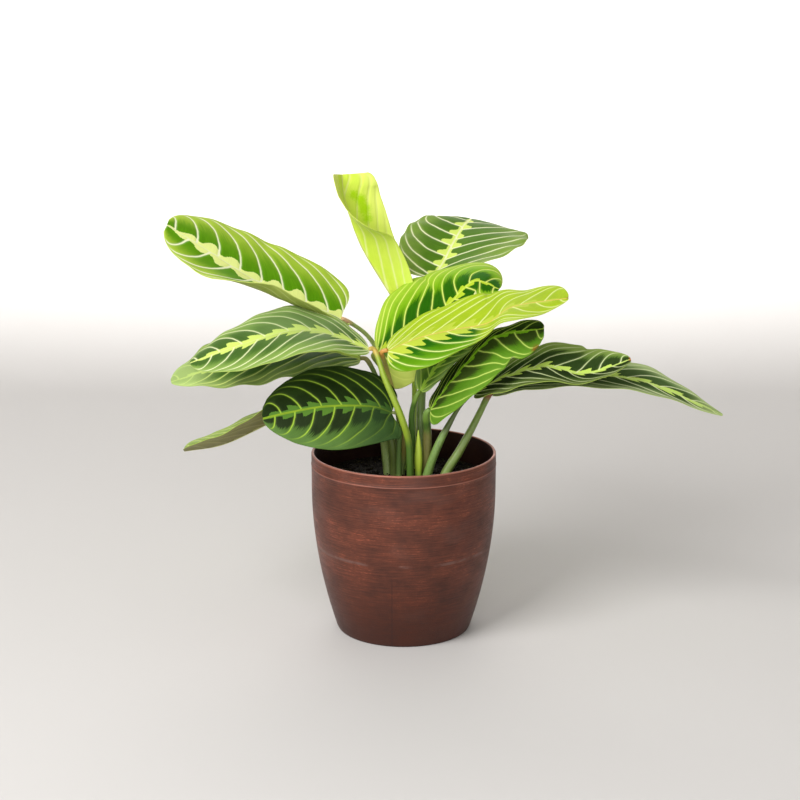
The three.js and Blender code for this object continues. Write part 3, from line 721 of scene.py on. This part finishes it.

# The centre back leaf is bright green, stands behind the centre one and curls over at its tip. It
# has dark patches beside a thin lime band, and its base lobe hangs in front of the stalks, painted
# pale lime as painted light for the light that shines through it.
spine = [[-16, 26, 171], [5, 30, 187], [26, 32, 199], [44, 34, 215], [60, 28, 211]]
grow_stalk("petiole_centre_back", [[0, 14, 98], [-1, 18, 116], [-5, 24, 138], [-12, 27, 157]],
           [2.0, 1.6, 1.3], spine, shaft="7f9c3c", top="9aa848")
grow_blade(
    "blade_centre_back", spine, half=[[27, 37, 37, 33], [44, 33, 24, 26]], shape=[0.5, 0.5],
    lobe=[0, 55], roll=[-55, -50, -35, -20], fold=[[-22, -8, -2], [0, 0, -4]],
    curl=[[0, -10, -20], [-10, -10, -10]], wave=0.5, veins=9,
    # Painted light: a pale lime tint on the base lobe stands for light shining through the thin leaf.
    marks_and_painted_light=[((-1, 10, 155), 21, "eaf47c", 0.75)],
    sweep=((0.16, 0.42), (0.16, 0.42)),
    top={"Field": "74a80e", "Margin": "a4c43c", "Margin Start": 0.4, "Patch": "1e5c02",
         "Vein": "d8e470", "Band": "bcd234", "Midrib": "c8dc50", "Vein Start": 0.45,
         "Vein End": 0.25, "Band Width": 3.4, "Tooth": 0.7, "Tooth Peak": 0.5, "Tooth Drop": 0.12,
         "Patch Reach": 0.5, "Patch Feather": 0.25, "Patch Share": 0.96},
    # The underside is pale lime, partly its own colour and partly painted light for light shining
    # through.
    below=underside("dcea84", "e4f090", "d2e278", "ecf0b0", "e4eca0"))

# The centre front leaf is the brightest open one, held out to the right on a tan stalk. Its upper
# half is plain pale lime, its lower half fresh green with dark patches, its very tip dry and brown.
spine = [[-10, -9, 180], [9, -14, 189], [30, -19, 195], [50, -24, 200], [65, -28, 210.8],
         [97.5, -34, 217]]
grow_stalk("petiole_centre_front",
           [[-1, 4, 98], [0, 4, 120], [-4, 4, 140], [-9, 2, 160], [-12, -4, 172]],
           [1.6, 1.5, 1.3], spine, shaft="b0a050", top="cc9444")
grow_blade(
    "blade_centre_front", spine, half=[[26, 26, 25, 29, 24, 46], [27, 28, 21, 15, 24, 13]],
    shape=[0.45, 0.55], lobe=[18, 18], roll=[-42, -32, -28, -26],
    fold=[[-25, -12, 5, -8, -2], [0, 0, 12, 0]],
    curl=[[10, 10, 0, 0], [-10, -15, 0, -10]], wave=0.5, veins=8,
    sweep=((0.24, 0.34), (0.24, 0.34)), marks_and_painted_light=[((98.5, -34, 217), 2.2, "6a4a20", 1)],
    top={"Field": "4a8404", "Margin": "6c9c14", "Margin Start": 0.4, "Patch": "1e5c06",
         "Vein": "dce690", "Band": "bccc44", "Midrib": "dbb45c", "Half": "a4be24",
         "Left Share": 0.92, "Plain From": 0.48, "Vein Start": 0.42, "Vein End": 0.28,
         "Band Width": 4, "Band Base": 11, "Tooth": 0.6, "Tooth Peak": 0.5, "Tooth Drop": 0.2,
         "Patch Reach": 0.52, "Patch Feather": 0.22, "Patch Share": 0.96},
    below=underside("a6c040", "b6ca4c", "9cb838", "d2dc84", "d0da78"))

# The middle left leaf is a mature dark green one that reaches left, paler towards its margins,
# with cream veins and a lime band that ends in fine spikes, and a painted grey-green sheen round
# the base of its blade. Its stalk is green at its foot and pale lime above.
shaded_green = underside("7c8f4e", "8ea060", "708444", "b4c284", "b0c07c")
spine = [[-21, -10, 181], [-46, -16, 192], [-69, -24, 195], [-103, -30, 186], [-128, -32, 177]]
grow_stalk("petiole_left_middle",
           [[4, -12, 98], [3, -13, 122], [-1, -16, 138], [-6, -17, 151], [-12, -16, 165]],
           [2.1, 2.1, 1.9, 1.3], spine, foot="56782c", shaft="9cb434", top="c4a850", streaks=0.3,
           foot_end=0.46)
grow_blade(
    "blade_left_middle", spine, half=[[29], [30, 29, 27, 30]], shape=[0.55, 0.58], lobe=[8, 8],
    roll=[22, 22, 20, 18], fold=[[14, 14, 6, 0], [5, 7, 5]],
    curl=[[-10, -15, -20], [-15, -15, -20]], wave=0.5, veins=8,
    # Painted sheen: a soft pale grey-green tint over the base of the blade.
    marks_and_painted_light=[((-62, -8, 200), 34, "8ca468", 0.4)],
    sweep=((0.22, 0.36), (0.14, 0.44)),
    top={"Field": "5c8034", "Margin": "94b058", "Margin Start": 0.35, "Patch": "3d5f22",
         "Vein": "e8eeb8", "Band": "daee74", "Midrib": "dce88c", "Vein Start": 0.45, "Vein End": 0.25,
         "Band Width": 5.4, "Tooth": 0.55, "Tooth Peak": 0.5, "Tooth Drop": 0.1,
         "Patch Reach": 0.6, "Patch Feather": 0.3, "Patch Share": 0.8},
    below=shaded_green)

# The leaf behind the middle left one is wavy and lies in its shadow, darker near its midrib and
# yellowing at its tip.
spine = [[-27, 22, 168], [-46, 20, 173], [-71, 16, 174], [-102, 12, 169], [-145, 8, 156]]
grow_stalk("petiole_left_under", [[-5, 10, 98], [-6, 11, 118], [-11, 16, 142], [-18, 21, 158]],
           [2.0, 1.6, 1.3], spine, shaft="7c8f44", top="a09a58")
grow_blade(
    "blade_left_under", spine, half=[[30, 30, 24, 12], [30]], shape=[0.5, 0.5], lobe=[8, 8],
    roll=[30, 30, 30, 25], fold=[[22, 18, 8, 4], [5, 5, 5]],
    curl=[[-10, -15, -20], [-15, -15, -20]], wave=1.6, veins=8,
    marks_and_painted_light=[((-142, 8, 157), 24, "b4cc7c", 0.7)],
    sweep=((0.24, 0.34), (0.24, 0.34)),
    top={"Field": "54762c", "Margin": "93a960", "Margin Start": 0.4, "Patch": "3a5c20",
         "Vein": "c8d878", "Band": "c0d860", "Midrib": "cddc70", "Vein Start": 0.42, "Vein End": 0.3,
         "Band Width": 3.4, "Tooth": 0.7, "Patch Reach": 0.6, "Patch Share": 0.8},
    below=shaded_green)

# The front left leaf is the darkest. It hangs over the rim of the pot and shows its whole face,
# with a toothed green-lime band and bright veins, and its lower half is greyer.
spine = [[-7, -14, 142], [-20, -18, 147], [-47, -26, 149], [-70, -30, 146], [-85, -33, 143]]
grow_stalk("petiole_front_left", [[-3, -4, 98], [-3, -4, 117], [-2, -6, 132]],
           [1.8, 1.6, 1.4, 0.9], spine, shaft="6a8844", top="6f7a40")
grow_blade(
    "blade_front_left", spine, half=[[19, 28, 26], [24, 27, 26]], shape=[0.38, 0.52],
    lobe=[40, 14], roll=[58], fold=[[-4, 4, 14], [0, 5, 5]],
    curl=[[-10, -20, -20], [-10, -20, -20]], wave=0.3, veins=6.6,
    # Painted shade: a soft dark tint over the base of the blade.
    marks_and_painted_light=[((-6, -22, 134), 26, "2c4424", 0.75)],
    sweep=((0.1, 0.5), (0.18, 0.46)),
    top={"Field": "507030", "Margin": "5c7c3e", "Half": "1d2e0c", "Right Share": 0.88,
         "Margin Start": 0.5, "Patch": "1c2414", "Vein": "a2c440", "Band": "58822e",
         "Midrib": "8fac2c", "Midrib Width": 0.6, "Vein Start": 0.42, "Vein End": 0.25,
         "Band Width": 5, "Tooth": 0.6, "Tooth Peak": 0.55, "Tooth Drop": 0.06, "Fade From": 0.6,
         "Patch Reach": 0.58, "Patch Feather": 0.2, "Patch Share": 0.9},
    below=underside("66803c", "768c4c", "5c7636", "a2b26c", "a0b068"))

# The lower left leaf is narrow and droops to the left, below the others, seen almost edge on. Its
# far side is rolled up, so that a strip of olive underside shows.
spine = [[-36, 4, 152], [-61, 0, 144], [-87, -2, 131], [-112, -6, 120], [-136, -8, 116]]
grow_stalk("petiole_lower_left", [[-6, 3, 98], [-7, 3, 116], [-11, 4, 131], [-21, 4, 145]],
           [2.6, 2.2, 1.4, 1.3], spine, foot="7c8c48", shaft="74843e", top="8a8a50")
grow_blade(
    "blade_lower_left", spine, half=[[27], [24]], shape=[0.5, 0.35], lobe=[8, 8], roll=[5],
    fold=[[37, 37, 30], [4, 4, 4]], curl=[[0], [0]], wave=0.4, veins=8,
    sweep=((0.22, 0.36), (0.22, 0.36)),
    top={"Field": "74903c", "Margin": "a0b45e", "Patch": "527628", "Vein": "c8d484", "Band": "b8d058",
         "Midrib": "c8d880", "Vein Start": 0.45, "Vein End": 0.3, "Band Width": 3, "Tooth": 0.7,
         "Patch Reach": 0.5, "Patch Share": 0.7},
    below=underside("7c7a44", "8c8c52", "727040", "a8a870", "a8a870", **{"Vein Share": 0.5}))

# The right of centre leaf is narrow and dark and leans right in front of the others. Purple-black
# patches lie along its lime band, and one place on its margin is damaged and red-brown.
spine = [[16, -8.5, 142.5], [26, -12, 158], [38, -16, 174], [55, -20, 191], [84, -26, 197]]
grow_stalk("petiole_right_front", [[14, -3, 98], [14.5, -3, 119], [14.5, -4, 129]],
           [2.9, 2.8, 2.6, 1.6], spine, foot="7c7a40", shaft="4c6e2c", top="6c8c38",
           streak="5c4a28", streaks=0.6, foot_end=0.8)
grow_blade(
    "blade_right_front", spine, half=[[26, 26, 20, 15, 24], [22, 25, 27, 31]], shape=[0.5, 0.5],
    lobe=[22, 36], roll=[-40, -38, -35, -30], fold=[[-15, -20, -26, 0], [2, -3, -10]],
    curl=[[0], [-5, -10, -10]], wave=0.5, veins=7,
    sweep=((0.24, 0.34), (0.26, 0.32)), nicks=[(0.79, 1, 0.2, 0.05)],
    marks_and_painted_light=[((78.5, -36, 187.5), 3.4, "84381e", 0.9)], gloss=0,
    top={"Field": "507c1c", "Margin": "66902c", "Margin Start": 0.4, "Patch": "36421c",
         "Vein": "c2d868", "Band": "7cb024", "Midrib": "a4c840", "Half": "263418",
         "Left Share": 0.85, "Vein Start": 0.4, "Vein End": 0.25, "Band Width": 2.6,
         "Tooth": 0.6, "Tooth Drop": 0.15, "Patch Reach": 0.42, "Patch Feather": 0.2,
         "Patch Share": 0.9},
    below=shaded_green)

# The right upper leaf is grey-green and arches to the right over the long one, with a pale toothed
# band and a small dry orange tip. A sheath wraps the lower half of its thin dark stalk.
spine = [[44, -6, 153], [60, -13, 164], [85, -22, 173], [109, -28, 170], [136, -30, 179]]
grow_stalk("petiole_right_upper", [[14, -10, 98], [20, -9, 117], [28, -7, 133], [34, -6, 143]],
           [3.0, 2.6, 2.4, 1.8, 1.1, 1.1], spine, foot="7c9c4c", shaft="5c6c30", top="4f4430",
           streak="54683a", streaks=0.6, foot_end=0.66)
grow_blade(
    "blade_right_upper", spine, half=[[26, 25, 24, 27, 31, 32, 28], [26]], shape=[0.5, 0.55],
    lobe=[8, 8], roll=[-20, -15, -2, -2], fold=[[-10, 5, 20, 18], [5, 0, 0]],
    curl=[[0], [0]], wave=0.5, veins=7.5, sweep=((0.22, 0.34), (0.24, 0.32)),
    marks_and_painted_light=[((137, -30, 180), 2.8, "c8702c", 1)], gloss=0,
    top={"Field": "587a30", "Margin": "94a858", "Half": "262e1a", "Right Share": 0.6,
         "Margin Start": 0.4, "Patch": "2a3a1e", "Vein": "dce8ac", "Band": "d0ec6c",
         "Midrib": "c4d880", "Vein Start": 0.38, "Vein End": 0.25, "Band Width": 4.6, "Tooth": 0.7,
         "Tooth Drop": 0.1, "Fade From": 0.75, "Patch Reach": 0.65, "Patch Feather": 0.25,
         "Patch Share": 0.85},
    below=shaded_green)

# The right long leaf is the longest, reaches furthest right and droops to a thin pale tip. Its
# near margin is nicked in places. It stands on a thick streaked stalk with a reddish joint.
spine = [[57, 8, 149.5], [84, -2, 159], [117, -12, 165], [149, -20, 162], [193, -28, 144]]
grow_stalk("petiole_right_long", [[25, -6, 98], [34.3, -3, 114], [42.3, 1, 128], [47.8, 5, 138]],
           [3.0, 2.5, 2.1, 1.8], spine, foot="94a85c", shaft="7c9648", top="8a5a3c",
           streak="7a6038", streaks=0.5)
grow_blade(
    "blade_right_long", spine, half=[[29, 29, 27, 22, 15], [29, 28, 25, 15, 10]],
    shape=[0.5, 0.6], lobe=[8, 14], roll=[0, 0, -8, -16], fold=[[5, 5, 4, -6], [0, 0, 0]],
    curl=[[0], [0]], wave=0.5, veins=7, sweep=((0.22, 0.34), (0.24, 0.32)),
    nicks=[(0.1, 1, 0.06, 0.008), (0.21, 1, 0.07, 0.01)],
    marks_and_painted_light=[((193, -28, 144), 20, "b4c880", 0.6)], gloss=0,
    top={"Field": "64824a", "Margin": "b4c488", "Half": "2c3a1c", "Right Share": 0.35,
         "Margin Start": 0.4, "Patch": "3c4e2a", "Vein": "e4ecb8", "Band": "cce870",
         "Midrib": "cddc90", "Vein Start": 0.38, "Vein End": 0.34, "Band Width": 4.4, "Tooth": 0.7,
         "Tooth Drop": 0.1, "Fade From": 0.7, "Patch Reach": 0.6, "Patch Feather": 0.25,
         "Patch Share": 0.7},
    below=shaded_green)

# The small leaf in the centre is dark, close behind the centre stalks, and mostly hidden by the two
# leaves before it.
spine = [[10, -7, 154], [16, -5, 163], [26, -1, 174], [47, 3, 185]]
grow_stalk("petiole_small_centre", [[4, -3, 98], [5, -3, 121], [5, -5, 139]],
           [2.0, 2.0, 1.2], spine, foot="5c7a24", shaft="44661c", top="6c8a30")
grow_blade(
    "blade_small_centre", spine, half=[[15], [9]], shape=[0.5, 0.6], lobe=[5, 5], roll=[-30],
    fold=[[-10], [5]], curl=[[0], [0]], wave=0.2, veins=5, gloss=0,
    sweep=((0.2, 0.36), (0.2, 0.36)),
    top={"Field": "688c2c", "Margin": "80985c", "Patch": "44642a", "Vein": "bcd468", "Band": "98c040",
         "Midrib": "a0c048", "Vein Start": 0.35, "Vein End": 0.25, "Band Width": 2.2, "Tooth": 0.6,
         "Patch Reach": 0.5, "Patch Share": 0.7, "Vein Share": 0.6},
    below=shaded_green)

# The young sheath is bright lime and pointed, the start of the next leaf. It stands alone in front
# of the stalks, rolled tight, and grows straight from the soil.
grow_stalk("sheath_pointed", [[9, -7, 98], [9, -7, 113], [9, -7, 129]],
           [2.2, 2.2, 2.1, 2.5, 2.2, 1.3, 0.3], foot="a4c84c", shaft="cce44c",
           streak="a4bc44", foot_end=0.5)

# The floor and the light aren't part of the plant: a plain pale floor that curves up into a
# backdrop, a large soft key light from the left and front, a weaker fill from straight in front,
# a lamp on the backdrop and a pale surround.
STAGE_FRONT = -20
STAGE_WIDTH = 24
CURVE_START = 1.3
CURVE_RADIUS = 0.8
BACKDROP_TOP = 4
curve = [
    (CURVE_START + CURVE_RADIUS * math.sin(turn), CURVE_RADIUS * (1 - math.cos(turn)))
    for turn in np.linspace(0.1, math.pi / 2, 15)
]
side = [(STAGE_FRONT, 0), (CURVE_START, 0), *curve, (CURVE_START + CURVE_RADIUS, BACKDROP_TOP)]
stage = bmesh.new()
line = [stage.verts.new((-STAGE_WIDTH / 2, y, z)) for y, z in side]
edges = [stage.edges.new(pair) for pair in zip(line, line[1:])]
drawn = bmesh.ops.extrude_edge_only(stage, edges=edges)["geom"]
far_line = [part for part in drawn if isinstance(part, bmesh.types.BMVert)]
bmesh.ops.translate(stage, vec=(STAGE_WIDTH, 0, 0), verts=far_line)
stage_mesh = bpy.data.meshes.new("pale stage")
stage.to_mesh(stage_mesh)
stage.free()
stage_mesh.shade_smooth()
ground = bpy.data.objects.new("pale stage", stage_mesh)
bpy.context.scene.collection.objects.link(ground)
pale, tree, shader = finish_of("pale floor", 0.8)
shader.inputs["Base Color"].default_value = (0.66, 0.64, 0.62, 1)
stage_mesh.materials.append(pale)

PLANT_MIDDLE = (0, 0, 0.15)
LAMPS = [
    ("key light", (-0.85, -0.95, 1.15), PLANT_MIDDLE, 23, 0.9),
    ("fill light", (0.1, -1.7, 0.45), PLANT_MIDDLE, 9, 1.2),
    ("backdrop light", (0, 1.1, 1.6), (0, 2.1, 1.3), 60, 1.6),
]
for name, place, aim, power, size in LAMPS:
    lamp = bpy.data.objects.new(name, bpy.data.lights.new(name, "AREA"))
    lamp.data.energy = power
    lamp.data.size = size
    lamp.location = place
    lamp.rotation_euler = (Vector(aim) - Vector(place)).to_track_quat("-Z", "Y").to_euler()
    bpy.context.scene.collection.objects.link(lamp)

surround = bpy.data.worlds.new("pale surround")
surround.use_nodes = True
glow = surround.node_tree.nodes["Background"].inputs
glow["Color"].default_value = (1, 0.99, 0.97, 1)
glow["Strength"].default_value = 0.4
bpy.context.scene.world = surround
bpy.context.scene.view_settings.view_transform = "Standard"
